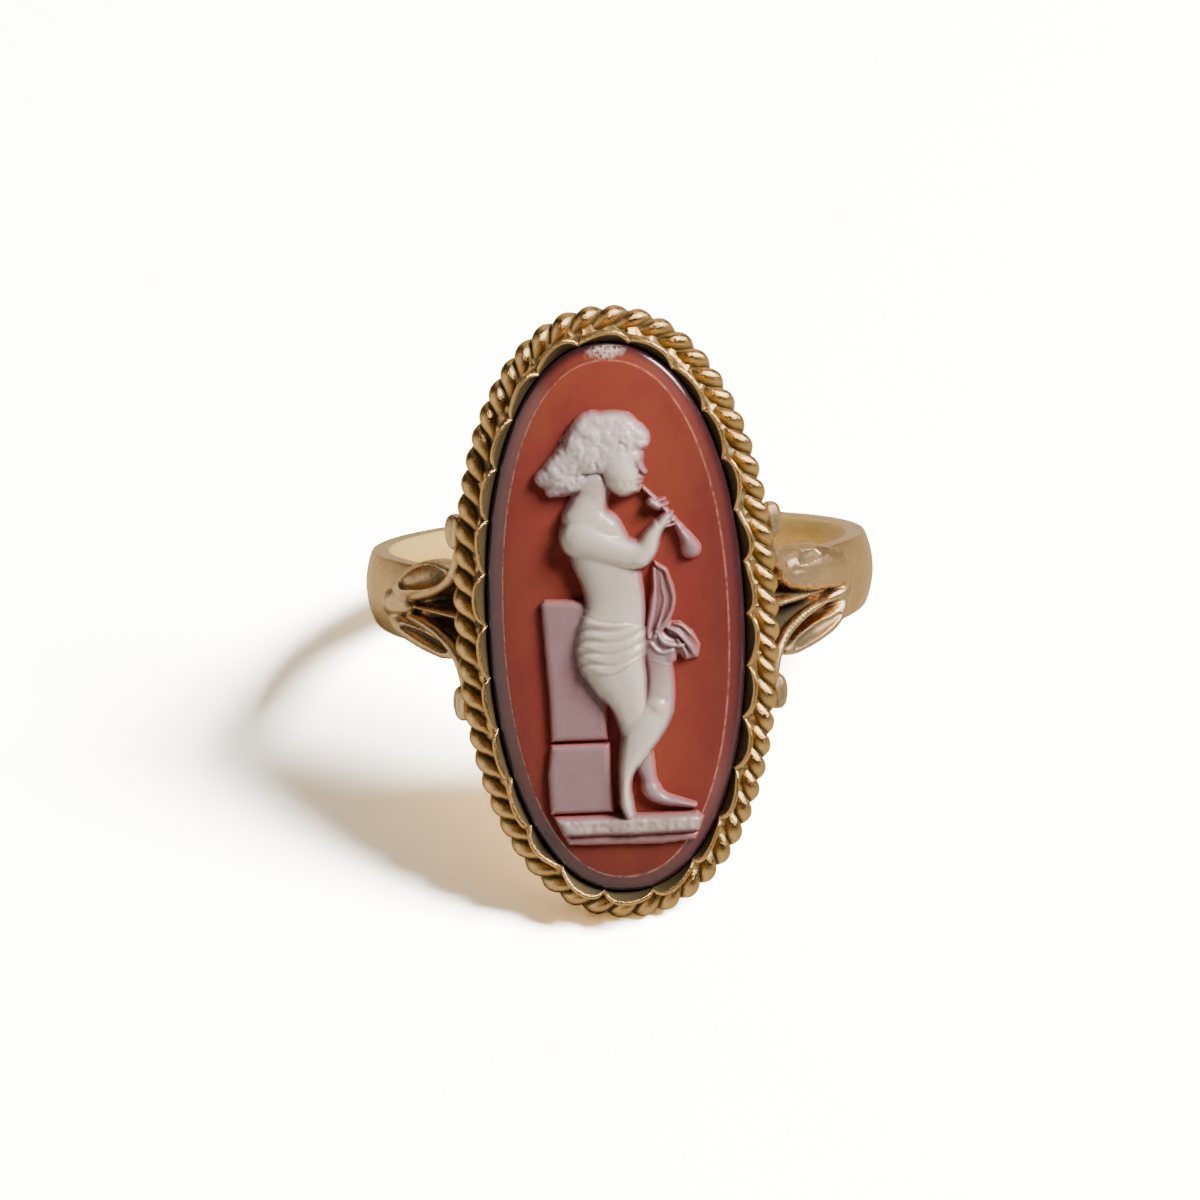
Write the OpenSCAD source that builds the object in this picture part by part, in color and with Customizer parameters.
// Cameo ring: a long oval cameo in a scalloped bezel with a border of twisted wire,
// on a gold band with fan-shaped shoulders. It lies on its side, as a ring rests by itself.
// In the ring's own axes X runs across the head, Z along the finger and -Y out of the head.

/* [Band] */
// Radius of the finger bore
bore_r = 8.65; // [7.6:0.05:10.4]
// Thickness of the band, from the bore to its outer face
band_t = 1.35; // [1.1:0.05:1.8]
// Width of the band at the shoulders
band_w_front = 3.0; // [2.5:0.1:3.6]
// Width of the band at its back
band_w_back = 2.2; // [1.7:0.1:2.9]
// How much thinner the band is at its two edges than along its middle
band_crown = 0.35; // [0.15:0.05:0.55]

/* [Stone] */
// Width of the stone at its girdle
stone_w = 9.5; // [8.6:0.1:11]
// Height of the stone at its girdle
stone_h = 20.5; // [18:0.1:23]
// Thickness of the carnelian ground, from its back to its flat top
stone_t = 1.9; // [1.5:0.05:2.5]
// Width of the bevel round the flat top
bevel_w = 0.6; // [0.35:0.05:0.8]
// Drop of the bevel from the flat top to the girdle
bevel_drop = 0.35; // [0.2:0.05:0.6]
// Fullness of the oval, where 2 is an ellipse
oval_power = 2.2; // [2:0.05:2.6]

/* [Relief] */
// Height of the carved figure above the ground
relief_h = 0.9; // [0.5:0.05:1.3]
// Height of the pillar and the drapery above the ground
low_relief_h = 0.36; // [0.2:0.02:0.5]

/* [Setting] */
// Thickness of the back plate
plate_t = 0.6; // [0.4:0.05:1]
// Metal between the finger bore and the back plate, at its middle
plate_rise = 0.45; // [0.3:0.05:0.9]
// Thickness of the bezel wall
bezel_t = 0.28; // [0.2:0.02:0.4]
// Scallops round the bezel's rim
scallops = 26; // [18:2:32]
// How far each scallop bows outwards between its two joints
scallop_bow = 0.16; // [0.06:0.02:0.24]
// How far each scallop rises above its two joints
scallop_rise = 0.14; // [0.06:0.02:0.24]
// Depth of the scallops' joints below the stone's flat top
rim_drop = 0.2; // [0.15:0.01:0.3]
// Diameter of the twisted wire
rope_d = 1.1; // [0.8:0.05:1.4]
// Ridges round the twisted wire
rope_ridges = 62; // [48:2:72]
// Depth to which soldered pieces sink into each other
solder_sink = 0.18; // [0.1:0.02:0.24]

/* [Shoulders] */
// Angle round the band from the head to the root of each shoulder
root_angle = 65; // [58:1:72]
// Distance between the middles of a shoulder's two scroll knobs
knob_span = 6.5; // [5.4:0.1:7.6]
// Diameter of a scroll knob
knob_d = 0.9; // [0.7:0.05:1.1]
// Length of a scroll knob along the head's side
knob_l = 1.3; // [1:0.05:1.6]
// Depth of the fan's hollows beside its middle rib
hollow_d = 0.45; // [0.2:0.05:0.6]
// Width of the leaf cap over its two lobes
cap_w = 3.9; // [3.4:0.1:4.6]
// Width of one lobe of the leaf cap
lobe_w = 1.2; // [0.9:0.05:1.4]
// Thickness of the leaf cap
lobe_t = 0.55; // [0.4:0.05:0.8]

/* [Clearances] */
// Gap between the stone and the bezel wall
stone_gap = 0.08; // [0.05:0.01:0.15]
// Gap between pieces that lie one on the other
seat_gap = 0.03; // [0.02:0.01:0.06]

/* [Hidden] */

gold = "#c8996b";
carnelian = "#b04a26";
pale_layer = "#d8cdc6";

// Points round the stone
oval_points = 60;
// Stations round the head for each ridge of the wire
ridge_rings = 5;

band_r = bore_r + band_t;
stone_a = stone_w / 2;
stone_b = stone_h / 2;

// Distances from the finger's axis, outwards through the head
plate_back = bore_r + plate_rise;
plate_top = plate_back + plate_t;
stone_back = plate_top + seat_gap;
stone_top = stone_back + stone_t;
girdle = stone_top - bevel_drop;
joint_level = stone_top - rim_drop;

// Offsets from the stone's girdle, outwards in the plane of the head
wall_in = stone_gap;
wall_out = wall_in + bezel_t;
rope_off = wall_out + rope_d / 2 - solder_sink;
plate_off = rope_off + 0.28 * rope_d;
rope_level = plate_top + rope_d / 2 - solder_sink;

// The bezel's rim where it is pressed in over the stone, and the band's outer edge at its back
rim_in = wall_in - bevel_w / 5;
rim_face = rim_in + bezel_t * 0.8;
rim_out = rim_face + scallop_bow;
rim_top = joint_level - bezel_t / 4 + scallop_rise;
back_edge_r = band_r - band_crown * pow(band_w_back / band_w_front, 2);

// The ring rests on the lower end of the wire border and on the band's lower back edge,
// with the middle of the space that it takes up over the origin
front_foot = [-rope_level, -stone_b - rope_off];
back_foot = [back_edge_r, -band_w_back / 2];
foot_line = back_foot - front_foot;
rest_tilt = atan2(foot_line.y, foot_line.x) + asin(rope_d / 2 / norm(foot_line));
rest_height = back_edge_r * sin(rest_tilt) + band_w_back / 2 * cos(rest_tilt);
rest_front = rim_top * cos(rest_tilt) + (stone_b + rim_out) * sin(rest_tilt);
rest_back = back_edge_r * cos(rest_tilt) + band_w_back / 2 * sin(rest_tilt);

function unit(v) = v / norm(v);
function mix(a, b, f) = a + (b - a) * f;
function power(x, e) = sign(x) * pow(abs(x), e);

// The shoulder's own line: from its root on the band to its seat beside the head.
// Place along it: share of the way, height above the midplane and lift off the line.
shoulder_root = [band_r * sin(root_angle), -band_r * cos(root_angle)];
shoulder_seat = [stone_a + plate_off - plate_t / 10, -plate_back - plate_t / 2];
shoulder_way = unit(shoulder_seat - shoulder_root);
shoulder_lift = [-shoulder_way.y, shoulder_way.x];
shoulder_face = unit([1, -1, 0]);
function on_shoulder(share, high, lift) = let (
    p = mix(shoulder_root, shoulder_seat, share) + shoulder_lift * lift
) [p.x, p.y, high];

// Point of the oval that lies off outside the girdle, for the oval's angle t
function oval(off, t) = [
    (stone_a + off) * power(cos(t), 2 / oval_power),
    (stone_b + off) * power(sin(t), 2 / oval_power)
];

// Half width of the oval at height v above the middle of the head
function oval_half(off, v) =
    (stone_a + off) * pow(1 - pow(abs(v) / (stone_b + off), oval_power), 1 / oval_power);

// Length along the wire against the oval's angle, from the right end of the short axis
walk_step = 1.5;
walk = [
    for (t = 0, s = 0; t <= 360;
        s = s + norm(oval(rope_off, t + walk_step) - oval(rope_off, t)), t = t + walk_step)
    [s, t]
];
walk_length = walk[len(walk) - 1][0];

// Angle of the oval at a share of the way round
function angle_at(share) = lookup(share * walk_length, walk);

// Triangles between rings of points, closed at both ends or, as a loop, end to end
function skin_faces(rings, points, loop) = let (last = loop ? rings : rings - 1) concat(
    [
        for (i = [0:last - 1], j = [0:points - 1])
        let (
            a = i * points + j,
            b = i * points + (j + 1) % points,
            c = ((i + 1) % rings) * points + (j + 1) % points,
            d = ((i + 1) % rings) * points + j
        )
        each [[a, c, b], [a, d, c]]
    ],
    loop ? [] : [
        [for (j = [0:points - 1]) j],
        [for (j = [points - 1:-1:0]) (rings - 1) * points + j]
    ]
);

module skin(rings, loop = false) {
    polyhedron(
        points = [for (ring = rings) each ring],
        faces = skin_faces(len(rings), len(rings[0]), loop),
        convexity = 8
    );
}

// Direction of a path at one of its points
function heading(path, i) =
    unit(path[min(i + 1, len(path) - 1)] - path[max(i - 1, 0)]);

// Rings of an oval rod along a path: radii across and along the lift direction
function rod(path, lift, across, high, sides) = [
    for (i = [0:len(path) - 1])
    let (
        ahead = heading(path, i),
        side = unit(cross(lift, ahead)),
        up = cross(ahead, side)
    )
    [
        for (j = [0:sides - 1])
        let (turn = 360 * j / sides)
        path[i] + side * across[i] * cos(turn) + up * high[i] * sin(turn)
    ]
];

// Puts what is modelled flat, with +Z out of the head, onto the ring
module on_head() {
    rotate([90, 0, 0]) children();
}

// Lays the finished ring on its side
module at_rest() {
    translate([0, (rest_front - rest_back) / 2, rest_height])
        rotate([-rest_tilt, 0, 0]) children();
}

// Plain band with a rounded outer face, narrower at its back and cut flat inside the back plate
module band() {
    crown_steps = 6;
    half = band_w_front / 2;
    crown = [
        for (i = [-crown_steps:crown_steps])
        let (f = i / crown_steps)
        [band_r - band_crown * f * f, half * f]
    ];
    edge = [
        [-plate_back - plate_t / 2, half], [shoulder_root.y, half],
        [band_r, band_w_back / 2], [band_r + 1, band_w_back / 2]
    ];
    taper = concat(edge, [for (i = [len(edge) - 1:-1:0]) [edge[i].x, -edge[i].y]]);
    intersection() {
        rotate_extrude() polygon(concat([[bore_r, half], [bore_r, -half]], crown));
        rotate([90, 0, 90]) linear_extrude(2 * band_r + 2, center = true) polygon(taper);
    }
}

// Outline of the whole head, one ring for each place on its section: the back plate's edge,
// over the twisted wire, up the bezel wall to its scalloped rim and down inside to the plate
module head() {
    count = rope_ridges * ridge_rings;
    waist = 0.52;
    first_lobe = -54;
    lobe_step = 36;
    lobe_rings = 7;
    turns = [for (i = [0:count - 1]) angle_at((i + 0.5) / count)];
    bulge = [
        for (i = [0:count - 1])
        let (f = (i + 0.5) * scallops / count, across = 2 * (f - floor(f)) - 1)
        1 - across * across
    ];
    plain_ring = function (off, level, bow, rise) [
        for (i = [0:count - 1])
        [each oval(off + bow * bulge[i], turns[i]), level + rise * bulge[i]]
    ];
    wire_ring = function (turn) [
        for (i = [0:count - 1])
        let (
            lobe = turn - 180 * (i + 0.5) / ridge_rings,
            r = rope_d / 2 * max(waist, pow(abs(cos(lobe)), 0.8))
        )
        [
            each oval(max(wall_out, rope_off + r * cos(turn)), turns[i]),
            rope_level + r * sin(turn)
        ]
    ];
    on_head() skin(concat(
        [
            plain_ring(rope_off, plate_back, 0, 0),
            plain_ring(plate_off, plate_top - solder_sink, 0, 0)
        ],
        [for (k = [0:lobe_rings - 1]) wire_ring(first_lobe + lobe_step * k)],
        [
            plain_ring(wall_out, girdle, scallop_bow, 0),
            plain_ring(rim_face, joint_level - bezel_t / 4, scallop_bow, scallop_rise),
            plain_ring(rim_in, joint_level, scallop_bow, scallop_rise),
            plain_ring(wall_in, girdle, 0, 0),
            plain_ring(wall_in, plate_top, 0, 0)
        ]
    ));
}

// Half width of the fan at a share of the way from the root to the head
fan_half = function (f) let (knob = knob_span / 2)
    lookup(f, [[0, 0.1], [0.3, 0.12], [0.5, 0.22], [0.8, 0.42], [0.95, 0.62], [1, 0.84]]) * knob;

module shoulder() {
    fan();
    for (side = [1, -1]) {
        fan_edge(side);
        scroll_knob(side);
        cap_lobe(side);
    }
}

// Web that fills the corner between the band and the head, hollow on both sides of its rib
module fan() {
    steps = 7;
    inner_r = bore_r + band_t / 4;
    inner_end = 33;
    band_half = band_w_front / 2 - band_crown / 2;
    // Columns: share of the half width, height over the hollow as a share of the hollow
    profile = [[-1, 0.6], [-0.75, 0], [-0.35, 0], [0, 1.2], [0.35, 0], [0.75, 0], [1, 0.6]];
    skin([
        for (i = [0:steps])
        let (
            f = i / steps,
            a = mix(root_angle + 4, inner_end, f),
            half = max(fan_half(f), mix(band_half, 0, f)),
            hollow = hollow_d * sqrt(f),
            low = min(half, band_half) * 0.9,
            back = mix(0.67, 0.89, f) * band_t
        )
        [
            [inner_r * sin(a), -inner_r * cos(a), -low],
            on_shoulder(f, -half, -back),
            for (row = profile) on_shoulder(f, row[0] * half, hollow * (row[1] - 1) - hollow_d / 9),
            on_shoulder(f, half, -back),
            [inner_r * sin(a), -inner_r * cos(a), low]
        ]
    ]);
}

// Raised edge of the fan, from under the leaf cap to the scroll knob beside the head
module fan_edge(side) {
    steps = 9;
    path = [
        for (i = [0:steps])
        let (f = mix(0.35, 1, i / steps))
        on_shoulder(f, side * fan_half(f), -0.13 * knob_d)
    ];
    sizes = [for (i = [0:steps]) knob_d * mix(0.2, 0.3, i / steps)];
    skin(rod(path, shoulder_face, sizes, sizes * 1.2, 8));
}

// Fluted end of the fan's edge, lying along the head's side
module scroll_knob(side) {
    flutes = 8;
    knob = side * knob_span / 2;
    middle = [oval_half(plate_off, knob) + 0.25 * knob_d, -plate_back - plate_t / 2];
    // Columns: share of the length, share of the diameter
    outline = [[-0.5, 0.5], [-0.38, 0.85], [-0.1, 1], [0.2, 1], [0.42, 0.8], [0.5, 0.45]];
    skin([
        for (row = outline)
        [
            for (j = [0:2 * flutes - 1])
            let (turn = 180 * j / flutes, r = knob_d / 2 * row[1] * (j % 2 == 0 ? 1 : 0.86))
            [middle.x + r * cos(turn), middle.y + r * sin(turn), knob + knob_l * row[0]]
        ]
    ]);
}

// Puffed lobe of the leaf cap, curling outwards to a round tip that overhangs the fan
module cap_lobe(side) {
    // Columns: share of the way, height in half cap widths, lift in thicknesses,
    // half width and half thickness in lobe widths and thicknesses
    lobe = [
        [-0.05, 0.01, -0.5, 0.08, 0.2],
        [0.03, 0.08, 0, 0.2, 0.35],
        [0.15, 0.24, 0.25, 0.38, 0.45],
        [0.32, 0.45, 0.45, 0.48, 0.5],
        [0.5, 0.64, 0.6, 0.5, 0.5],
        [0.66, 0.76, 0.65, 0.46, 0.48],
        [0.77, 0.8, 0.55, 0.36, 0.42],
        [0.84, 0.79, 0.4, 0.2, 0.28]
    ];
    path = [
        for (row = lobe)
        on_shoulder(row[0], side * row[1] * cap_w / 2, row[2] * lobe_t)
    ];
    skin(rod(path, shoulder_face,
        [for (row = lobe) row[3] * lobe_w], [for (row = lobe) row[4] * lobe_t], 10));
}

module ring_mount() {
    color(gold) at_rest() {
        band();
        shoulder();
        mirror([1, 0, 0]) shoulder();
        head();
    }
}

// Oval tablet with a flat top and a bevel down to its girdle
module carnelian_ground() {
    levels = [[0, stone_back], [0, girdle], [-bevel_w, stone_top]];
    color(carnelian) at_rest() on_head() skin([
        for (level = levels)
        [
            for (i = [0:oval_points - 1])
            [each oval(level[0], angle_at(i / oval_points)), level[1]]
        ]
    ]);
}

// Rounded form of the carving between two places, each with its radius and its rise.
// Across and radius are in half widths of the stone, up is in half heights.
module limb(row, rise) {
    hull() for (k = [0, 4])
        translate([row[k] * stone_a, row[k + 1] * stone_b, 0])
            scale([row[k + 2] * stone_a, row[k + 2] * stone_a, row[k + 3] * rise])
                sphere(1, $fn = 12);
}

// Columns of both tables: across, up, radius and rise of the start, then of the end
figure = [
    // Curls on the crown, over the brow and at the nape
    [-0.09, 0.645, 0.28, 0.85, 0.04, 0.63, 0.28, 0.9],
    [0.14, 0.7, 0.12, 0.8, 0.22, 0.655, 0.13, 0.75],
    [-0.27, 0.575, 0.18, 0.7, -0.48, 0.535, 0.12, 0.5],
    [-0.28, 0.525, 0.13, 0.6, -0.44, 0.485, 0.09, 0.45],
    // Face, nose and neck
    [0.07, 0.57, 0.22, 0.9, 0.08, 0.505, 0.18, 0.8],
    [0.21, 0.56, 0.07, 0.7, 0.24, 0.52, 0.04, 0.6],
    [-0.11, 0.49, 0.15, 0.7, -0.15, 0.39, 0.17, 0.75],
    // Shoulder, upper arm, forearm and hands
    [-0.18, 0.31, 0.26, 0.9, -0.04, 0.19, 0.27, 0.85],
    [-0.21, 0.31, 0.18, 1, 0.2, 0.235, 0.125, 1],
    [0.22, 0.235, 0.12, 0.95, 0.37, 0.33, 0.08, 0.75],
    [0.36, 0.42, 0.05, 0.55, 0.44, 0.37, 0.1, 0.65],
    // Trunk and hips
    [-0.04, 0.19, 0.27, 0.85, 0, 0.05, 0.25, 0.85],
    [0, 0.05, 0.25, 0.85, -0.05, -0.11, 0.28, 0.95],
    // Near leg with its foot
    [-0.05, -0.12, 0.28, 0.95, 0.06, -0.3, 0.17, 0.85],
    [0.06, -0.3, 0.17, 0.8, 0.2, -0.57, 0.1, 0.5],
    [0.2, -0.61, 0.08, 0.5, 0.56, -0.67, 0.05, 0.4],
    // Far leg, crossing in front
    [0.26, -0.12, 0.15, 0.55, 0.32, -0.3, 0.17, 0.75],
    [0.28, -0.33, 0.17, 0.85, 0.14, -0.45, 0.14, 0.95],
    [0.14, -0.45, 0.14, 0.95, 0.03, -0.56, 0.075, 0.9],
    [0.03, -0.56, 0.075, 0.9, 0.03, -0.68, 0.065, 0.8],
    // Cloth wound round the hips
    [-0.22, -0.03, 0.06, 0.6, 0.2, -0.01, 0.06, 1],
    [-0.25, -0.09, 0.06, 0.6, 0.22, -0.08, 0.07, 1.05],
    [-0.24, -0.15, 0.06, 0.6, 0.2, -0.15, 0.06, 1.02]
];

low_forms = [
    // Pipe and its bell
    [0.26, 0.48, 0.025, 0.9, 0.54, 0.33, 0.04, 0.9],
    [0.54, 0.33, 0.04, 0.9, 0.61, 0.255, 0.09, 0.9],
    // Cloth falling from the arm, its loop and its flying end
    [0.27, 0.17, 0.05, 0.9, 0.25, 0, 0.055, 1],
    [0.43, 0.15, 0.045, 0.9, 0.41, 0.03, 0.05, 1],
    [0.41, 0.03, 0.05, 1, 0.33, -0.05, 0.05, 1],
    [0.25, 0, 0.055, 1, 0.35, -0.1, 0.055, 1.1],
    [0.35, -0.1, 0.055, 1.1, 0.48, -0.1, 0.05, 1],
    [0.39, -0.03, 0.045, 1, 0.62, -0.08, 0.055, 0.9],
    [0.62, -0.08, 0.055, 0.9, 0.63, -0.17, 0.04, 0.8],
    [0.48, -0.1, 0.05, 1, 0.55, -0.14, 0.05, 0.8]
];

// Block of the pillar between two heights, with its left and right ends
module pillar_block(left, right, low, high, rise) {
    translate([left * stone_a, low * stone_b, 0])
        cube([(right - left) * stone_a, (high - low) * stone_b, rise]);
}

module cameo_relief() {
    joint = 0.012;
    color(pale_layer) at_rest() on_head() translate([0, 0, stone_top + seat_gap])
        intersection() {
            union() {
                for (row = figure) limb(row, relief_h);
                for (row = low_forms) limb(row, low_relief_h);
                pillar_block(-0.57, -0.05, -0.43 + joint, 0.08, low_relief_h);
                pillar_block(-0.56, -0.05, -0.45, -0.4, low_relief_h * 0.75);
                pillar_block(-0.585, -0.05, -0.71, -0.43, low_relief_h * 1.1);
                pillar_block(-0.6, 0.62, -0.79, -0.7, low_relief_h * 1.6);
                pillar_block(-0.6, 0.6, -0.825, -0.78, low_relief_h);
            }
            linear_extrude(relief_h * 1.2)
                polygon([
                    for (i = [0:oval_points - 1])
                    oval(-bevel_w * 1.5, angle_at(i / oval_points))
                ]);
        }
}

ring_mount();
carnelian_ground();
cameo_relief();
